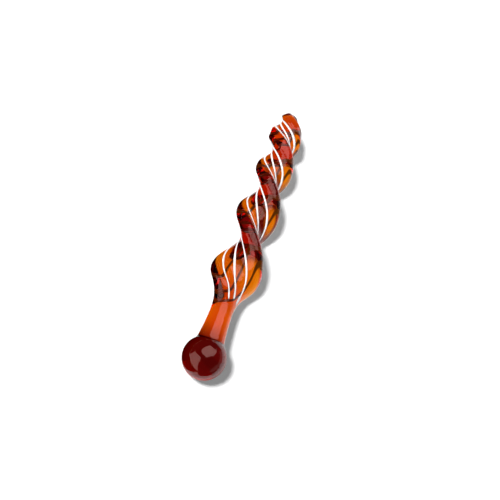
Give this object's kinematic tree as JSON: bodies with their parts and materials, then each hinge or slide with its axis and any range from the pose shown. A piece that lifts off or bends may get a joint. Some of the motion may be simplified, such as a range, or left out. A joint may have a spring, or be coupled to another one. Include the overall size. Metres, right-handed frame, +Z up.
{
  "type": "twisted glass wand",
  "caption": "Solid amber glass wand: a ball end, a flared round neck and a left-handed twisted flat bar with white threads, tapering to a rounded tip.",
  "frame": {"origin": "centre of the bounding box's bottom face, on the table that the wand lies on", "axes": "+X along the wand's axis from the ball to the tip, +Z up from the table, +Y across it"},
  "size_m": [0.18, 0.0306, 0.0287],
  "materials": {
    "amber_glass": "fire-polished, clear",
    "white_thread": "opaque white opal, fire-polished"
  },
  "bodies": {
    "root": {"ball_end": "amber_glass", "neck": "amber_glass", "twisted_bar": "amber_glass", "tip": "amber_glass", "thread_a1": "white_thread", "thread_a2": "white_thread", "thread_a3": "white_thread", "thread_b1": "white_thread", "thread_b2": "white_thread", "thread_b3": "white_thread"}
  },
  "joints": []
}
